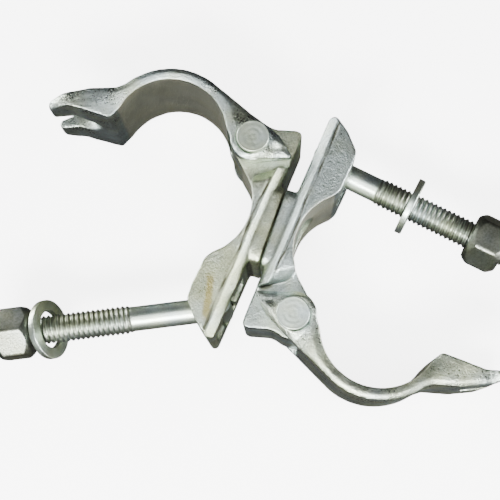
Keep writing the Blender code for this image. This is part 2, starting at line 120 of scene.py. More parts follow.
def set_points(mesh, points):
    mesh.vertices.foreach_set('co', points.astype(np.float32).ravel())
    mesh.update()


def normals_of(mesh):
    normals = np.empty(len(mesh.vertices) * 3, np.float32)
    mesh.vertex_normals.foreach_get('vector', normals)
    return normals.reshape(-1, 3).astype(float)


def ease(value, low, high):
    """0 below low, 1 above high, and a smooth rise between."""
    share = np.clip((value - low) / (high - low), 0, 1)
    return share * share * (3 - 2 * share)


def store(mesh, name, values):
    layer = mesh.attributes.new(name, 'FLOAT', 'POINT')
    layer.data.foreach_set('value', values.astype(np.float32))


def neighbour_mean(mesh, values, rounds):
    """Values at the vertices, averaged along the edges a number of times."""
    ends = np.empty(len(mesh.edges) * 2, np.int32)
    mesh.edges.foreach_get('vertices', ends)
    ends = ends.reshape(-1, 2)
    count = np.bincount(ends.ravel(), minlength=len(mesh.vertices))[:, None]
    for _ in range(rounds):
        total = np.zeros_like(values)
        np.add.at(total, ends[:, 0], values[ends[:, 1]])
        np.add.at(total, ends[:, 1], values[ends[:, 0]])
        values = total / np.maximum(count, 1)
    return values


FULL_HOLLOW = 0.13 * MM     # a point that averaging lifts this far lies in a full hollow


def store_hollows(mesh, seam=0.0):
    """An attribute that is above 0 in hollows and seams and below 0 on raised edges; the zinc materials
    paint shade at both.
    """
    points = points_of(mesh)
    pulled = neighbour_mean(mesh, points, 6)
    bend = ((pulled - points) * normals_of(mesh)).sum(axis=1) / FULL_HOLLOW
    bend = neighbour_mean(mesh, bend[:, None], 12)[:, 0]
    store(mesh, 'hollow', np.clip(np.maximum(bend, seam), -1, 1))


def blobs(points, size, seed):
    """Smooth noise at each point, about -1 to 1."""
    offset = Vector((seed, seed * 0.7, seed * 1.3))
    return np.array([noise.noise(Vector(point) / size + offset) for point in points])


DENT_DEPTH = 0.12 * MM
DENT_SIZE = 3.0 * MM


def hammered(mesh, seed):
    """The slightly uneven skin that scale and zinc leave on a forging; it only sinks in."""
    points = points_of(mesh)
    sunk = 0.75 + 0.5 * blobs(points, DENT_SIZE, seed) + 0.3 * blobs(points, DENT_SIZE * 0.38, -seed)
    set_points(mesh, points - normals_of(mesh) * (DENT_DEPTH * np.maximum(sunk, 0))[:, None])


SEAT_RADIUS = 24.4 * MM
TUBE = np.array((35.0, 0.0)) * MM
BACK = 4.1 * MM             # the back face at the swivel's axis, and how it leans
BACK_LEAN = 0.0594
BEVEL_DEPTH = 3.3 * MM
SIDE_FACE = 22.5 * MM
TONGUE_FACE = 16.0 * MM
SEAM_BEYOND = 1.7 * MM      # the crease, from the bevel's edge
SEAM_DEPTH = 0.7 * MM
SEAM_WIDTH = 0.55 * MM
SEAM_WANDER = 0.9 * MM
RIB_SLOPE = 0.38
RIB_DEPTH = 0.8 * MM
STEP_SLOPE = 1.15
FACET_SOFTNESS = 0.5 * MM


def slope(points, start, end, steepness, soft):
    """How far a pressed facet sinks at each point: it starts at a line and falls to its left."""
    line = np.array(end) - np.array(start)
    line = line / np.linalg.norm(line)
    away = (points[:, 0] - start[0]) * -line[1] + (points[:, 1] - start[1]) * line[0]
    return steepness * (np.sqrt(away * away + soft * soft) + away) / 2


def store_seat(mesh):
    """An attribute that is 1 in the tube's seat, which is scraped and duller than the rest, and painted
    a darker olive as shade.
    """
    points = points_of(mesh)
    away = np.hypot(points[:, 0] - TUBE[0], points[:, 1] - TUBE[1])
    store(mesh, 'seat', 1 - ease(away, SEAT_RADIUS + 0.15 * MM, SEAT_RADIUS + 0.7 * MM))


def press_seam(mesh):
    """The wandering crease where the long bevels meet the side faces."""
    points = points_of(mesh)
    wander = SEAM_WANDER * blobs(points * (1, 1, 0), 11 * MM, 21.0)
    height = points[:, 0] - (BACK - points[:, 1] * BACK_LEAN) - BEVEL_DEPTH - SEAM_BEYOND + wander
    share = ease(np.abs(points[:, 2]), SIDE_FACE - 5 * MM, SIDE_FACE)
    rib = RIB_SLOPE * (np.sqrt(height * height + (0.3 * MM) ** 2) - height) / 2
    points[:, 2] -= np.sign(points[:, 2]) * np.minimum(rib, RIB_DEPTH) * share
    near = np.exp(-(height / SEAM_WIDTH) ** 2)
    near *= ease(np.abs(points[:, 2]), SIDE_FACE - 3 * MM, SIDE_FACE)
    strength = 0.75 + 0.6 * blobs(points * (1, 1, 0), 7 * MM, 33.0)
    near *= np.clip(strength, 0.2, 1)
    points[:, 2] -= np.sign(points[:, 2]) * SEAM_DEPTH * near
    set_points(mesh, points)
    return near


def press_step(mesh):
    """Makes the step down to the tongue a slope; the ears of the flap lie beyond it."""
    points = points_of(mesh)
    step_start = np.array((0.1, 22.6)) * MM
    step_end = np.array((10.4, 16.5)) * MM
    drop = slope(points, step_start, step_end, STEP_SLOPE, FACET_SOFTNESS)
    drop *= ease(points[:, 0] - BACK + points[:, 1] * BACK_LEAN, 3.2 * MM, 4.6 * MM)
    full = SIDE_FACE - TONGUE_FACE
    share = np.clip((np.abs(points[:, 2]) - TONGUE_FACE) / full, 0, 1)
    points[:, 2] -= np.sign(points[:, 2]) * np.minimum(drop, full * 0.9) * share
    set_points(mesh, points)


def store_stain(mesh, start, end, width):
    """An attribute that is 1 along a rusty streak on the upper side face."""
    points = points_of(mesh)
    line = np.array(end) - np.array(start)
    length = np.linalg.norm(line)
    line = line / length
    along = (points[:, 0] - start[0]) * line[0] + (points[:, 1] - start[1]) * line[1]
    across = np.abs((points[:, 0] - start[0]) * -line[1] + (points[:, 1] - start[1]) * line[0])
    across = across + 0.5 * MM * blobs(points, 2.5 * MM, 5.0)
    inside = (1 - ease(across, width * 0.25, width * 0.75)) * ease(along, -2 * MM, 3 * MM)
    inside *= 1 - ease(along, length - 3 * MM, length + 2 * MM)
    inside *= points[:, 2] < -SIDE_FACE + 1.5 * MM
    store(mesh, 'stain', inside)


SADDLE_GRAIN = 0.5 * MM
STAIN_START = np.array((17.0, -28.0)) * MM
STAIN_END = np.array((12.5, -47.0)) * MM
STAIN_WIDTH = 3.0 * MM

saddle_mesh = forging_skin('saddle_a', halves['a'], SADDLE_GRAIN, 14)
press_step(saddle_mesh)
seam = press_seam(saddle_mesh)
# The seam's crease goes into 'hollow', so it is drawn with painted shade.
store_hollows(saddle_mesh, seam)
hammered(saddle_mesh, 4.0)
store_seat(saddle_mesh)
store_stain(saddle_mesh, STAIN_START, STAIN_END, STAIN_WIDTH)


def math_node(tree, operation, first, second=None):
    """A Math node; each input is a socket or a number."""
    node = tree.nodes.new('ShaderNodeMath')
    node.operation = operation
    for socket, value in zip(node.inputs, (first, second)):
        if isinstance(value, bpy.types.NodeSocket):
            tree.links.new(value, socket)
        elif value is not None:
            socket.default_value = value
    return node.outputs[0]


def ramp_node(tree, factor, stops):
    """A colour ramp from a list of (position, colour)."""
    node = tree.nodes.new('ShaderNodeValToRGB')
    elements = node.color_ramp.elements
    while len(elements) < len(stops):
        elements.new(0.5)
    for element, (position, colour) in zip(elements, stops):
        element.position = position
        element.color = (*colour, 1)
    tree.links.new(factor, node.inputs[0])
    return node.outputs[0]


def noise_node(tree, scale, detail, roughness, seed):
    """Noise on object coordinates; scale is the size of its blobs in metres."""
    where = tree.nodes.new('ShaderNodeTexCoord')
    turned = tree.nodes.new('ShaderNodeMapping')
    turned.inputs['Location'].default_value = (seed, seed, seed)
    tree.links.new(where.outputs['Object'], turned.inputs['Vector'])
    node = tree.nodes.new('ShaderNodeTexNoise')
    node.inputs['Scale'].default_value = 1 / scale
    node.inputs['Detail'].default_value = detail
    node.inputs['Roughness'].default_value = roughness
    tree.links.new(turned.outputs[0], node.inputs['Vector'])
    return node.outputs['Fac']


def mix_colour(tree, factor, first, second):
    """The first colour where the factor is 0 and the second where it is 1."""
    node = tree.nodes.new('ShaderNodeMix')
    node.data_type = 'RGBA'
    sockets = (node.inputs[0], node.inputs[6], node.inputs[7])
    for socket, value in zip(sockets, (factor, first, second)):
        if isinstance(value, bpy.types.NodeSocket):
            tree.links.new(value, socket)
        else:
            socket.default_value = value if isinstance(value, float) else (*value, 1)
    return node.outputs[2]


def attribute_node(tree, name):
    node = tree.nodes.new('ShaderNodeAttribute')
    node.attribute_name = name
    return node.outputs['Fac']


BROAD_PATCH = 10 * MM       # the size of the zinc's pale and dark patches, and of its tints
TINT_PATCH = 16 * MM
COOL_TINT = (0.85, 0.95, 1.0)
WARM_TINT = (0.96, 1.0, 0.74)
# A darker olive painted into the tube's seat as shade.
SEAT_SHADE = (0.46, 0.45, 0.35)
RUST = (0.36, 0.29, 0.08)
RELIEF = 0.28 * MM


def zinc_material(name, dark, light, shade, gloss, grain, bump, seed=0.0):
    """Zinc on steel: mottled grain, painted shade in hollows and seams and along raised edges, a dull
    seat painted darker as shade, a rust stain.
    """
    material = bpy.data.materials.new(name)
    material.use_nodes = True
    tree = material.node_tree
    shader = tree.nodes['Principled BSDF']
    shader.inputs['Metallic'].default_value = 1.0
    hollow = attribute_node(tree, 'hollow')
    fine = noise_node(tree, grain, 3.0, 0.65, seed)
    broad = noise_node(tree, BROAD_PATCH, 3.0, 0.55, seed + 3)

    def rule(operation, first, second):
        return math_node(tree, operation, first, second)

    def within(value, low, high):
        return rule('MINIMUM', rule('MAXIMUM', value, low), high)

    mottle = rule('ADD', rule('MULTIPLY', fine, 0.5), rule('MULTIPLY', broad, 0.5))
    colour = ramp_node(tree, mottle, [(0.28, dark), (0.70, light)])
    drift = rule('SUBTRACT', noise_node(tree, TINT_PATCH, 2.0, 0.5, seed + 9), 0.5)
    warmth = rule('ADD', attribute_node(tree, 'warm'), rule('MULTIPLY', drift, 2.4))
    tint = mix_colour(tree, within(warmth, 0.0, 1.0), COOL_TINT, WARM_TINT)
    colour = mix_colour(tree, 1.0, colour, tint)
    colour.node.blend_type = 'MULTIPLY'
    seat = attribute_node(tree, 'seat')
    # Painted shade: the tube's seat is turned a darker olive.
    colour = mix_colour(tree, rule('MULTIPLY', seat, 0.75), colour, SEAT_SHADE)
    colour = mix_colour(tree, rule('MULTIPLY', attribute_node(tree, 'stain'), 0.75), colour, RUST)
    # Painted shade: hollows and seams, where 'hollow' is high, are darkened towards the shade colour.
    sunk = rule('MULTIPLY', rule('SUBTRACT', hollow, 0.24), 1.9)
    colour = mix_colour(tree, within(sunk, 0.0, 0.85), colour, shade)
    # Painted shade: raised edges, where 'hollow' is below 0, are darkened towards the shade colour too.
    edge_shade = rule('MULTIPLY', rule('ADD', hollow, 0.22), -1.6)
    colour = mix_colour(tree, within(edge_shade, 0.0, 0.8), colour, shade)
    tree.links.new(colour, shader.inputs['Base Color'])
    rough = rule('ADD', rule('MULTIPLY', mottle, 0.25), gloss - 0.12)
    rough = rule('ADD', rough, rule('MULTIPLY', seat, 0.15))
    tree.links.new(rough, shader.inputs['Roughness'])
    relief = tree.nodes.new('ShaderNodeBump')
    relief.inputs['Strength'].default_value = bump
    relief.inputs['Distance'].default_value = RELIEF
    tree.links.new(fine, relief.inputs['Height'])
    tree.links.new(relief.outputs[0], shader.inputs['Normal'])
    return material


saddle_zinc = zinc_material('saddle_zinc', (0.30, 0.31, 0.27), (0.76, 0.79, 0.74), (0.10, 0.10, 0.06),
                            0.31, 0.8 * MM, 1.0)


def piece(name, mesh, node, material, body):
    """One piece in place of its CAD node, riding on its body."""
    mesh.name = name
    made = bpy.data.objects.new(name, mesh)
    bpy.context.scene.collection.objects.link(made)
    mesh.materials.clear()
    mesh.materials.append(material)
    if 'warm' not in mesh.attributes:
        warmed(mesh, 0.5)
    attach(made, body)
    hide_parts(node)


def warmed(mesh, warmth):
    """Says how warm a tint the zinc has here; each dipping comes out a little different."""
    store(mesh, 'warm', np.full(len(mesh.vertices), warmth))


def placed(mesh, place):
    """A copy of the mesh, moved into the object's frame and shaded smooth."""
    copy = mesh.copy()
    copy.transform(place)
    copy.shade_smooth()
    return copy


for letter, half in halves.items():
    mesh = placed(saddle_mesh, half)
    warmed(mesh, 0.75 if letter == 'a' else 0.15)
    if letter == 'b':
        mesh.attributes.remove(mesh.attributes['stain'])
    piece('saddle_skin_' + letter, mesh, 'saddle_' + letter, saddle_zinc, 'half_' + letter)

# ------------------------------------------------------------------ the two flaps
# Each flap is a forged strap that closes over the tube. Two ears hold it to the saddle's tongue,
# and its forked toe takes the bolt. The ears slope away on both sides of the rivet's flat seat.

EAR_FACE = 22.5 * MM
EAR_INNER = 16.3 * MM
HEAD_SEAT = 7.3 * MM
EAR_DROP = 3.2 * MM         # the most that an ear's face sinks at its edge
RIDGE_SOFTNESS = 0.4 * MM
EDGE_BAND = 1.75 * MM       # the sloping band along the outer edge
EDGE_SLOPE = 0.8
TOE_SLOPE = -0.16
TOE_DROP = 1.6 * MM
INNER_BAND = 3.2 * MM       # the gentler slope towards the seat
INNER_SLOPE = 0.30
WALL_GRID = 0.3 * MM


def hinge_at(letter):
    """The hinge's axis in its half's own frame."""
    return halves[letter].inverted() @ Vector(joints['flap_%s_hinge' % letter]['pos_m'])


def flap_place(letter):
    """Out of the closed flap's half frame, to where the open flap lies."""
    opening = math.radians(-joints['flap_%s_hinge' % letter]['range_deg'][0])
    pin = Matrix.Translation(hinge_at(letter))
    return halves[letter] @ pin @ Matrix.Rotation(opening, 4, 'Z') @ pin.inverted()


def press_ears(mesh, pin):
    """Slopes the ears' faces away from the ridge that runs from the strap past the rivet to the nose."""
    points = points_of(mesh)
    nose = pin + Vector((-13.4, 11.2, 0)) * MM
    crown_end = nose + Vector((9.62, -2.72, 0)) * MM
    heel_start = nose + Vector((4.35, -9.0, 0)) * MM
    strap_side = pin + Vector((24.7, -4.0, 0)) * MM
    below_head = pin + Vector((6.3, -4.5, 0)) * MM
    flat = points[:, :2] - np.array(pin)[:2]
    from_pin = np.hypot(flat[:, 0], flat[:, 1])
    along = flat[:, 0] * 0.88 - flat[:, 1] * 0.475
    shoulder = slope(points, below_head, strap_side, 0.26, RIDGE_SOFTNESS) * ease(along, 0, 8 * MM)
    crown = slope(points, nose, crown_end, 0.45, RIDGE_SOFTNESS)
    crown *= 1 - ease(along, 0, 8 * MM)
    back = 0.40 * np.maximum(from_pin - HEAD_SEAT, 0)
    back *= ease((flat @ np.array((-0.95, -0.31))) / np.maximum(from_pin, MM), 0.2, 0.6)
    heel = slope(points, heel_start, nose, 0.34, RIDGE_SOFTNESS) * ease(-along, 0, 4 * MM)
    drop = np.maximum.reduce([shoulder, crown, np.minimum(back, heel + 1.2 * MM)])
    drop = np.minimum(drop, EAR_DROP)
    # The flat seat round the rivet's head stays as it is.
    drop = np.minimum(drop, 0.5 * np.maximum(from_pin - HEAD_SEAT, 0))
    share = np.clip((np.abs(points[:, 2]) - EAR_INNER) / (EAR_FACE - EAR_INNER), 0, 1)
    points[:, 2] -= np.sign(points[:, 2]) * drop * share
    set_points(mesh, points)


def press_edges(mesh):
    """The band along the outer edge of both broad faces, and the crease along the toe."""
    points = points_of(mesh)
    normals = normals_of(mesh)
    outward = ((points[:, :2] - TUBE) * normals[:, :2]).sum(axis=1) > 0
    height = np.abs(points[:, 2])
    # Only the wall between the ears' inner and outer faces counts, not the slot's or the gap's.
    level = (height < EAR_FACE - 3 * MM) & (height > EAR_INNER + 0.6 * MM)
    outside = points[outward & level & (np.abs(normals[:, 2]) < 0.4), :2]
    wall = np.unique(np.round(outside / WALL_GRID), axis=0)
    tree = kdtree.KDTree(len(wall))
    for i, (x, y) in enumerate(wall * WALL_GRID):
        tree.insert((x, y, 0), i)
    tree.balance()
    share = np.clip((height - EAR_FACE + 5 * MM) / (5 * MM), 0, 1)
    wobble = 0.4 * MM * blobs(points * (1, 1, 0), 8 * MM, 41.0)
    drop = np.zeros(len(points))
    for i in np.nonzero(share > 0)[0]:
        drop[i] = EDGE_BAND + wobble[i] - tree.find((points[i, 0], points[i, 1], 0))[2]
    drop = EDGE_SLOPE * (np.sqrt(drop * drop + (0.25 * MM) ** 2) + drop) / 2
    toe_start = np.array((58.0, -29.5)) * MM
    toe_end = np.array((62.5, -14.0)) * MM
    toe = np.abs(slope(points, toe_start, toe_end, TOE_SLOPE, FACET_SOFTNESS))
    toe *= ease(-points[:, 1], 9 * MM, 18 * MM)
    drop += np.minimum(toe, TOE_DROP)
    from_tube = np.hypot(points[:, 0] - TUBE[0], points[:, 1] - TUBE[1])
    inward = SEAT_RADIUS + INNER_BAND + wobble - from_tube
    drop += INNER_SLOPE * (np.sqrt(inward * inward + (0.4 * MM) ** 2) + inward) / 2
    drop = neighbour_mean(mesh, drop[:, None], 3)[:, 0]
    points[:, 2] -= np.sign(points[:, 2]) * drop * share
    set_points(mesh, points)


FLAP_GRAIN = 0.45 * MM
flap_mesh = forging_skin('flap_a', flap_place('a'), FLAP_GRAIN, 9)
press_ears(flap_mesh, hinge_at('a'))
press_edges(flap_mesh)
flap_mesh = with_modifiers(flap_mesh, [('SMOOTH', {'factor': 0.5, 'iterations': 3})])
# The flap's hollows and raised edges get painted shade through this attribute.
store_hollows(flap_mesh)
hammered(flap_mesh, 11.0)
store_seat(flap_mesh)
flap_zinc = zinc_material('flap_zinc', (0.28, 0.29, 0.26), (0.76, 0.79, 0.74), (0.09, 0.09, 0.06),
                          0.29, 0.8 * MM, 1.0, 7.0)
for letter in halves:
    mesh = placed(flap_mesh, flap_place(letter))
    warmed(mesh, 0.2 if letter == 'a' else 0.55)
    piece('flap_skin_' + letter, mesh, 'flap_' + letter, flap_zinc, 'flap_' + letter)

# ------------------------------------------------------------------ the three rivets
# Two hinge rivets and the thick swivel rivet are plain steel pins, headed over cold. The riveting
# tool leaves rings on the heads, which are turned here from one profile for each rivet.

HEAD_EDGE = 0.45 * MM
HEAD_DISH = 0.10 * MM
RING_PITCH = 2.3 * MM
RING_DEPTH = 0.014 * MM
HINGE_SHANK = 5.5 * MM
SWIVEL_SHANK = 8.0 * MM
SWIVEL_UNDER_HEAD = 7.1 * MM


def headed_profile(head, top, under, shank):
    """From the axis out over the ringed head, round its edge and down to the shank's middle."""
    profile = []
    steps = int(head / (0.12 * MM))
    for i in range(steps + 1):
        radius = (head - HEAD_EDGE) * i / steps
        ring = math.cos(2 * math.pi * radius / RING_PITCH)
        dish = HEAD_DISH * (1 - (radius / head) ** 2)
        profile.append((radius, top - dish - RING_DEPTH * (1 - ring)))
    for i in range(1, 7):
        turn = math.radians(90 * i / 6)
        profile.append((head - HEAD_EDGE + HEAD_EDGE * math.sin(turn),
                        top - HEAD_EDGE + HEAD_EDGE * math.cos(turn)))
    return profile + [(head, under), (shank, under), (shank, 0)]


def turned(name, profile, steps, closed=False):
    """A turned solid about z, from a profile of (radius, height)."""
    mesh = bpy.data.meshes.new(name)
    count = len(profile)
    edges = [(i, (i + 1) % count) for i in range(count if closed else count - 1)]
    mesh.from_pydata([(radius, 0, height) for radius, height in profile], edges, [])
    spun = with_modifiers(mesh, [('SCREW', {
        'axis': 'Z', 'steps': steps, 'render_steps': steps, 'use_merge_vertices': True,
        'merge_threshold': 1e-5})])
    shape = bmesh.new()
    shape.from_mesh(spun)
    bmesh.ops.remove_doubles(shape, verts=shape.verts, dist=SAME_POINT)
    bmesh.ops.recalc_face_normals(shape, faces=shape.faces)
    shape.to_mesh(spun)
    shape.free()
    return spun


def rivet(name, low_corner, high_corner, head, under, shank):
    """A rivet with two equal heads, as long as its CAD node's box is high."""
    top = (high_corner - low_corner) / 2
    half = headed_profile(head, top, under, shank)
    mirrored = [(radius, -height) for radius, height in reversed(half[:-1])]
    mesh = turned(name, half + mirrored, 96)
    store(mesh, 'hollow', np.zeros(len(mesh.vertices)))
    return mesh


rivet_steel = zinc_material('rivet_steel', (0.50, 0.53, 0.49), (0.74, 0.77, 0.72), (0.2, 0.2, 0.16),
                            0.42, 1.4 * MM, 0.30, 2.0)
for letter, half in halves.items():
    node = 'hinge_rivet_' + letter
    low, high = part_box(node)
    mesh = rivet(node, low.z, high.z, (high.x - low.x) / 2, EAR_FACE + 0.3 * MM, HINGE_SHANK)
    piece('hinge_pin_' + letter, placed(mesh, Matrix.Translation((low + high) / 2)), node, rivet_steel,
          'half_' + letter)
low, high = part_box('swivel_rivet')
mesh = rivet('swivel_rivet', low.x, high.x, (high.z - low.z) / 2, SWIVEL_UNDER_HEAD, SWIVEL_SHANK)
lay_across = Matrix.Translation((low + high) / 2) @ Matrix.Rotation(math.radians(90), 4, 'Y')
piece('swivel_pin', placed(mesh, lay_across), 'swivel_rivet', rivet_steel, 'half_a')

# ------------------------------------------------------------------ the two T-bolts
# A T-bolt is a zinc-plated steel rod with a cross bar forged on one end, which lies in the pocket
# behind the saddle. The rest of its length is rolled with a coarse thread, whose crests stand
# proud of the shank. The thread follows a rule, so a node tree shapes it round a flat grid.

THREAD_PITCH = 2.12 * MM
THREAD_RADIUS = 6.1 * MM
THREAD_DEPTH = 0.8 * MM
THREAD_CHAMFER = 1.3 * MM
SHANK_RADIUS = 5.3 * MM
T_BAR_RADIUS = 4.75 * MM
T_BAR_EDGE = 0.9 * MM
SIDES_ROUND_ROD = 64
ROWS_EACH_PITCH = 11
THREAD_START = {'a': 37.5 * MM, 'b': 25.5 * MM}


def node_input(tree, name, kind):
    """A named input of a node tree; gives the identifier that a modifier sets it by."""
    return tree.interface.new_socket(name, in_out='INPUT', socket_type=kind).identifier


def run_tree(tree, mesh, settings):
    """The mesh after a node tree, with its inputs set by identifier; the modifier goes with it."""
    blank = bpy.data.objects.new('blank', mesh)
    bpy.context.scene.collection.objects.link(blank)
    modifier = blank.modifiers.new('rule', 'NODES')
    modifier.node_group = tree
    for identifier, value in settings.items():
        modifier[identifier] = value
    evaluated = blank.evaluated_get(bpy.context.evaluated_depsgraph_get())
    result = bpy.data.meshes.new_from_object(evaluated)
    bpy.data.objects.remove(blank)
    return result


def finish_tree(tree, geometry, given):
    """The last nodes of every tree: instances made real, the material set, and the output."""
    real = tree.nodes.new('GeometryNodeRealizeInstances')
    coat = tree.nodes.new('GeometryNodeSetMaterial')
    end = tree.nodes.new('NodeGroupOutput')
    tree.links.new(geometry, real.inputs[0])
    tree.links.new(real.outputs[0], coat.inputs['Geometry'])
    tree.links.new(given.outputs['Material'], coat.inputs['Material'])
    tree.links.new(coat.outputs[0], end.inputs[0])


def thread_tree():
    """A rod round z: plain shank, thread run-out, helical thread and a chamfered end."""
    tree = bpy.data.node_groups.new('rolled_thread', 'GeometryNodeTree')
    names = {name: node_input(tree, name, 'NodeSocketFloat') for name in (
        'Length', 'Thread Start', 'Pitch', 'Thread Radius', 'Shank Radius', 'Depth')}
    names['Rows'] = node_input(tree, 'Rows', 'NodeSocketInt')
    names['Material'] = node_input(tree, 'Material', 'NodeSocketMaterial')
    tree.interface.new_socket('Geometry', in_out='OUTPUT', socket_type='NodeSocketGeometry')
    given = tree.nodes.new('NodeGroupInput')
    value = given.outputs
    grid = tree.nodes.new('GeometryNodeMeshGrid')
    grid.inputs['Size X'].default_value = 1
    grid.inputs['Size Y'].default_value = 1
    grid.inputs['Vertices X'].default_value = SIDES_ROUND_ROD + 1
    tree.links.new(value['Rows'], grid.inputs['Vertices Y'])
    place = tree.nodes.new('GeometryNodeInputPosition')
    split = tree.nodes.new('ShaderNodeSeparateXYZ')
    tree.links.new(place.outputs[0], split.inputs[0])

    def rule(operation, first, second=None):
        return math_node(tree, operation, first, second)

    around = rule('ADD', split.outputs['X'], 0.5)
    share = rule('ADD', split.outputs['Y'], 0.5)
    height = rule('MULTIPLY', share, value['Length'])
    phase = rule('FRACT', rule('SUBTRACT', rule('DIVIDE', height, value['Pitch']), around))
    wave = rule('ABSOLUTE', rule('SUBTRACT', rule('MULTIPLY', phase, 2.0), 1.0))
    flank = rule('MULTIPLY', rule('SUBTRACT', wave, 0.12), 1.32)
    groove = rule('MINIMUM', rule('MAXIMUM', flank, 0.0), 1.0)
    threaded = rule('SUBTRACT', value['Thread Radius'], rule('MULTIPLY', groove, value['Depth']))
    risen = rule('DIVIDE', rule('SUBTRACT', height, value['Thread Start']),
                 rule('MULTIPLY', value['Pitch'], 1.4))
    blend = rule('MINIMUM', rule('MAXIMUM', risen, 0.0), 1.0)
    radius = rule('ADD', value['Shank Radius'], rule('MULTIPLY', blend, rule(
        'SUBTRACT', threaded, value['Shank Radius'])))
    from_end = rule('SUBTRACT', value['Length'], height)
    chamfer = rule('ADD', rule('SUBTRACT', value['Thread Radius'], THREAD_CHAMFER), from_end)
    radius = rule('MINIMUM', radius, chamfer)
    at_ends = rule('LESS_THAN', rule('ABSOLUTE', split.outputs['Y']), 0.4999)
    radius = rule('MULTIPLY', radius, at_ends)
    angle = rule('MULTIPLY', around, 2 * math.pi)
    wrapped = tree.nodes.new('ShaderNodeCombineXYZ')
    tree.links.new(rule('MULTIPLY', radius, rule('COSINE', angle)), wrapped.inputs['X'])
    tree.links.new(rule('MULTIPLY', radius, rule('SINE', angle)), wrapped.inputs['Y'])
    tree.links.new(height, wrapped.inputs['Z'])
    move = tree.nodes.new('GeometryNodeSetPosition')
    tree.links.new(grid.outputs['Mesh'], move.inputs['Geometry'])
    tree.links.new(wrapped.outputs[0], move.inputs['Position'])
    merge = tree.nodes.new('GeometryNodeMergeByDistance')
    merge.inputs['Distance'].default_value = 0.005 * MM
    tree.links.new(move.outputs[0], merge.inputs['Geometry'])
    finish_tree(tree, merge.outputs[0], given)
    return tree, names


rolled_thread, thread_names = thread_tree()
bolt_zinc = zinc_material('bolt_zinc', (0.40, 0.43, 0.40), (0.76, 0.79, 0.76), (0.14, 0.14, 0.11),
                          0.34, 0.7 * MM, 0.2, 5.0)


def bolt_place(letter):
    """The bolt's own frame: its z along the bolt from the T-bar's axis, its x along the tube."""
    bar = Vector(joints['t_bolt_%s_swing' % letter]['pos_m'])
    along = -Vector(joints['nut_%s_travel' % letter]['axis']).normalized()
    across = Vector((0, 0, 1))
    side = along.cross(across)
    return Matrix.Translation(bar) @ Matrix((across, side, along)).transposed().to_4x4()


def reach(node, place):
    """How far a node reaches along its bolt, lowest and highest."""
    inward = place.inverted()
    heights = [(inward @ vertex.co).z for vertex in frame['nodes'][node].data.vertices]
    return min(heights), max(heights)


def t_bar(length):
    """The cross bar, lying along the tube, with rounded ends."""
    profile = [(0, length)]
    for i in range(6):
        turn = math.radians(90 * i / 5)
        profile.append((T_BAR_RADIUS - T_BAR_EDGE + T_BAR_EDGE * math.sin(turn),
                        length - T_BAR_EDGE + T_BAR_EDGE * math.cos(turn)))
    profile += [(radius, -height) for radius, height in reversed(profile)]
    bar = turned('t_bar', profile, 40)
    bar.transform(Matrix.Rotation(math.radians(90), 4, 'Y'))
    return bar


def joined(first, second):
    """Two overlapping solids made one."""
    other = bpy.data.objects.new('other', second)
    bpy.context.scene.collection.objects.link(other)
    mesh = with_modifiers(first, [('BOOLEAN', {'operation': 'UNION', 'object': other})])
    bpy.data.objects.remove(other)
    return mesh


for letter in halves:
    place = bolt_place(letter)
    length = reach('t_bolt_' + letter, place)[1]
    settings = {'Length': length, 'Thread Start': THREAD_START[letter], 'Pitch': THREAD_PITCH,
                'Thread Radius': THREAD_RADIUS, 'Shank Radius': SHANK_RADIUS, 'Depth': THREAD_DEPTH,
                'Rows': int(length / THREAD_PITCH * ROWS_EACH_PITCH), 'Material': bolt_zinc}
    mesh = run_tree(rolled_thread, bpy.data.meshes.new('rod'),
                    {thread_names[name]: value for name, value in settings.items()})
    low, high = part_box('t_bolt_' + letter)
    mesh = joined(mesh, t_bar((high.z - low.z) / 2))
    # Painted shade on the thread: the material darkens its crests and flanks, where 'hollow' is below 0,
    # and its chamfered end, where it is above 0; the roots, the shank and the T-bar keep their colour.
    points = points_of(mesh)
    radius = np.hypot(points[:, 0], points[:, 1])
    root = (SHANK_RADIUS - radius) / (0.35 * MM)
    store(mesh, 'hollow', np.clip(root, -0.6, 1) * (points[:, 2] > THREAD_START[letter]))
    piece('threaded_bolt_' + letter, placed(mesh, place), 't_bolt_' + letter, bolt_zinc,
          't_bolt_' + letter)

# ------------------------------------------------------------------ the two washers
# Thick plain washers, punched from strip: one face has the rolled-over edge that the punch leaves.
# They hang loose on the bolts, and washer A leans against its nut.

WASHER_HOLE = 7.95 * MM
ROLLED_EDGE = 0.8 * MM
SHARP_EDGE = 0.35 * MM
LOWER_CHAMFER = 0.3 * MM
UPPER_CHAMFER = 0.5 * MM


def washer_profile(radius, half):
    """Round the section: rolled outer edge above, sharper one below, and the hole's chamfers."""
    corners = (
        (radius - ROLLED_EDGE, half - ROLLED_EDGE, ROLLED_EDGE, 90),
        (radius - SHARP_EDGE, -half + SHARP_EDGE, SHARP_EDGE, 0),
        (WASHER_HOLE + LOWER_CHAMFER, -half + LOWER_CHAMFER, LOWER_CHAMFER, -90),
        (WASHER_HOLE + UPPER_CHAMFER, half - UPPER_CHAMFER, UPPER_CHAMFER, -180),
    )
    profile = []
    for centre_r, centre_z, edge, start in corners:
        for i in range(6):
            turn = math.radians(start - 90 * i / 5)
            profile.append((centre_r + edge * math.cos(turn), centre_z + edge * math.sin(turn)))
    return profile


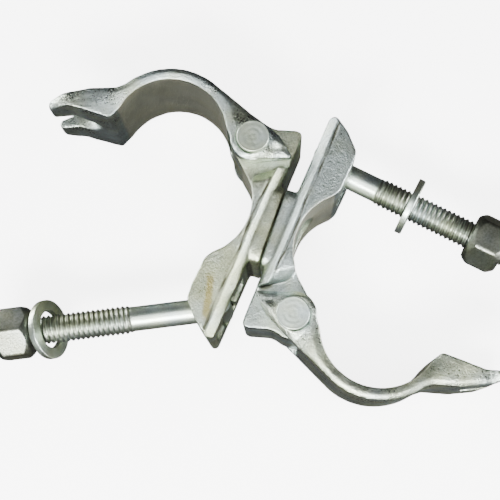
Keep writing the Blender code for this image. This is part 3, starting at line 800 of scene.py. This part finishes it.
washer_steel = zinc_material('washer_steel', (0.46, 0.49, 0.45), (0.74, 0.77, 0.72), (0.2, 0.2, 0.16),
                             0.34, 0.9 * MM, 0.25, 8.0)
for letter in halves:
    node = 'washer_' + letter
    place = bolt_place(letter)
    low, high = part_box(node)
    turn = Matrix.Identity(4)
    if letter == 'a':
        tilt = joints['washer_a_tilt']
        turn = Matrix.Rotation(-math.radians(tilt['range_deg'][1]), 4, Vector(tilt['axis']))
    lie = Matrix.Translation((low + high) / 2) @ turn @ place.to_3x3().to_4x4()
    inward = lie.inverted()
    spans = [inward @ vertex.co for vertex in frame['nodes'][node].data.vertices]
    section = washer_profile(max(span.x for span in spans), max(span.z for span in spans))
    mesh = turned(node, section, 96, closed=True)
    store(mesh, 'hollow', np.zeros(len(mesh.vertices)))
    piece('punched_washer_' + letter, placed(mesh, lie), node, washer_steel, node)

# ------------------------------------------------------------------ the two nuts
# Tall hexagon nuts, cold-formed and then turned at both ends, so the end cones cut the flats in
# curves. A node tree draws a turned blank in to the six flats.

NUT_FLAT = 10.5 * MM
NUT_CORNER = 11.85 * MM
NUT_BORE = 6.4 * MM
NUT_END = 9.3 * MM
NUT_CONE = 3.2 * MM
NUT_BORE_CHAMFER = 0.9 * MM


def hexagon_tree():
    """Draws in whatever stands outside six flats round z."""
    tree = bpy.data.node_groups.new('six_flats', 'GeometryNodeTree')
    names = {'Geometry': node_input(tree, 'Geometry', 'NodeSocketGeometry')}
    names['Flat'] = node_input(tree, 'Flat', 'NodeSocketFloat')
    names['Material'] = node_input(tree, 'Material', 'NodeSocketMaterial')
    tree.interface.new_socket('Geometry', in_out='OUTPUT', socket_type='NodeSocketGeometry')
    given = tree.nodes.new('NodeGroupInput')
    place = tree.nodes.new('GeometryNodeInputPosition')
    split = tree.nodes.new('ShaderNodeSeparateXYZ')
    tree.links.new(place.outputs[0], split.inputs[0])

    def rule(operation, first, second=None):
        return math_node(tree, operation, first, second)

    radius = rule('SQRT', rule('ADD', rule('POWER', split.outputs['X'], 2.0),
                               rule('POWER', split.outputs['Y'], 2.0)))
    angle = rule('ADD', rule('ARCTAN2', split.outputs['Y'], split.outputs['X']), 2 * math.pi)
    sixth = math.pi / 3
    off_flat = rule('SUBTRACT', rule('MODULO', rule('ADD', angle, sixth / 2), sixth), sixth / 2)
    flat = rule('DIVIDE', given.outputs['Flat'], rule('COSINE', off_flat))
    draw = rule('MINIMUM', rule('DIVIDE', flat, radius), 1.0)
    moved = tree.nodes.new('ShaderNodeCombineXYZ')
    tree.links.new(rule('MULTIPLY', split.outputs['X'], draw), moved.inputs['X'])
    tree.links.new(rule('MULTIPLY', split.outputs['Y'], draw), moved.inputs['Y'])
    tree.links.new(split.outputs['Z'], moved.inputs['Z'])
    move = tree.nodes.new('GeometryNodeSetPosition')
    tree.links.new(given.outputs['Geometry'], move.inputs['Geometry'])
    tree.links.new(moved.outputs[0], move.inputs['Position'])
    finish_tree(tree, move.outputs[0], given)
    return tree, names


def nut_profile(half):
    """Round the section: bore, end face, cone, side, and back."""
    upper = [(NUT_BORE, half - NUT_BORE_CHAMFER), (NUT_BORE + NUT_BORE_CHAMFER, half), (NUT_END, half)]
    for i in range(1, 13):
        share = i / 12
        upper.append((NUT_END + (NUT_CORNER - NUT_END) * share, half - NUT_CONE * share ** 1.15))
    side = [(NUT_CORNER, (half - NUT_CONE) * (1 - i / 6)) for i in range(1, 12)]
    lower = [(radius, -height) for radius, height in reversed(upper)]
    return upper + side + lower


six_flats, flat_names = hexagon_tree()
nut_steel = zinc_material('nut_steel', (0.12, 0.115, 0.10), (0.31, 0.31, 0.285), (0.07, 0.06, 0.04),
                          0.36, 0.9 * MM, 0.35, 12.0)
for letter in halves:
    node = 'nut_' + letter
    place = bolt_place(letter)
    low_end, high_end = reach(node, place)
    spin = math.radians(30 if letter == 'a' else 0)
    lie = place @ Matrix.Translation((0, 0, (low_end + high_end) / 2)) @ Matrix.Rotation(spin, 4, 'Z')
    blank = turned(node, nut_profile((high_end - low_end) / 2), 120, closed=True)
    mesh = run_tree(six_flats, blank, {flat_names['Flat']: NUT_FLAT, flat_names['Material']: nut_steel})
    store(mesh, 'hollow', np.zeros(len(mesh.vertices)))
    mesh = placed(mesh, lie)
    mesh.set_sharp_from_angle(angle=math.radians(24))
    piece('hexagon_nut_' + letter, mesh, node, nut_steel, node)

# ------------------------------------------------------------------ floor, light and camera
# A sheet of pale paper on the bench, with one long soft light in front and high up, two low ones
# at the sides and a weak one overhead. The camera looks down from almost straight above.

CAMERA_STAND = Vector((36.1, -93.0, 445.5)) * MM   # from the swivel's centre
CAMERA_AIM = Vector((-7.3, -9.3, 0.0)) * MM
CAMERA_ROLL = math.radians(-8.08)
CAMERA_LENS = 76.0
FLOOR_SIZE = 6
FLOOR_GLOW = 5.0
ROOM_GLOW = 0.8
ROOM_FLOOR = 0.09           # the least light from any side
LIGHTS_AIM = Vector((0, 0, 0.02))

bpy.ops.mesh.primitive_plane_add(size=FLOOR_SIZE, location=(0, 0, cad_low.z - 0.3 * MM))
floor = bpy.context.object
floor.name = 'floor'
paper = bpy.data.materials.new('pale_floor')
paper.use_nodes = True
paper_shader = paper.node_tree.nodes['Principled BSDF']
paper_shader.inputs['Base Color'].default_value = (0.9, 0.9, 0.89, 1)
paper_shader.inputs['Roughness'].default_value = 0.9
paper_shader.inputs['Emission Color'].default_value = (1, 1, 1, 1)
paper_shader.inputs['Emission Strength'].default_value = FLOOR_GLOW
floor.data.materials.append(paper)
floor.visible_glossy = False
floor.visible_diffuse = False
floor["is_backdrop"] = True

world = bpy.data.worlds.new('studio')
bpy.context.scene.world = world
world.use_nodes = True
sky_tree = world.node_tree
direction = sky_tree.nodes.new('ShaderNodeTexCoord')
split = sky_tree.nodes.new('ShaderNodeSeparateXYZ')
sky_tree.links.new(direction.outputs['Generated'], split.inputs[0])


def room(operation, first, second):
    return math_node(sky_tree, operation, first, second)


# The room is bright low down and in front, and dark overhead, behind and under the floor.
upward = room('MAXIMUM', split.outputs['Z'], 0.0)
low_band = room('POWER', room('SUBTRACT', 1.0, upward), 2.0)
in_front = room('MULTIPLY', room('SUBTRACT', 0.75, split.outputs['Y']), 0.7)
above = room('GREATER_THAN', split.outputs['Z'], -0.02)
glow = room('MULTIPLY', room('MULTIPLY', low_band, in_front), above)
lit = room('ADD', room('MULTIPLY', glow, ROOM_GLOW), ROOM_FLOOR)
# Seen past the floor's edge, the room is as pale as the floor.
seen = sky_tree.nodes.new('ShaderNodeLightPath').outputs['Is Camera Ray']
pale = room('MULTIPLY', seen, FLOOR_GLOW)
sky = sky_tree.nodes['Background']
sky.inputs['Color'].default_value = (1, 1, 1, 1)
sky_tree.links.new(room('MAXIMUM', lit, pale), sky.inputs['Strength'])


def soft_light(name, place, size, watts):
    lamp = bpy.data.lights.new(name, 'AREA')
    lamp.shape = 'RECTANGLE'
    lamp.size, lamp.size_y = size
    lamp.energy = watts
    stand = bpy.data.objects.new(name, lamp)
    stand.location = place
    stand.rotation_euler = (LIGHTS_AIM - Vector(place)).to_track_quat('-Z', 'Y').to_euler()
    bpy.context.scene.collection.objects.link(stand)


soft_light('front_light', (0.05, -0.60, 0.66), (0.45, 0.22), 22)
soft_light('right_light', (0.70, 0.10, 0.11), (0.5, 0.20), 14)
soft_light('left_light', (-0.70, 0.10, 0.11), (0.5, 0.20), 9)
soft_light('top_light', (0.0, -0.15, 1.0), (0.3, 0.3), 4.0)

lens = bpy.data.cameras.new('camera')
lens.lens = CAMERA_LENS
camera = bpy.data.objects.new('camera', lens)
bpy.context.scene.collection.objects.link(camera)
camera.location = swivel + CAMERA_STAND
look = (CAMERA_AIM - CAMERA_STAND).to_track_quat('-Z', 'Y')
camera.rotation_euler = (look.to_matrix() @ Matrix.Rotation(CAMERA_ROLL, 3, 'Z')).to_euler()
lens.clip_start = 0.01
bpy.context.scene.camera = camera

low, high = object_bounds()
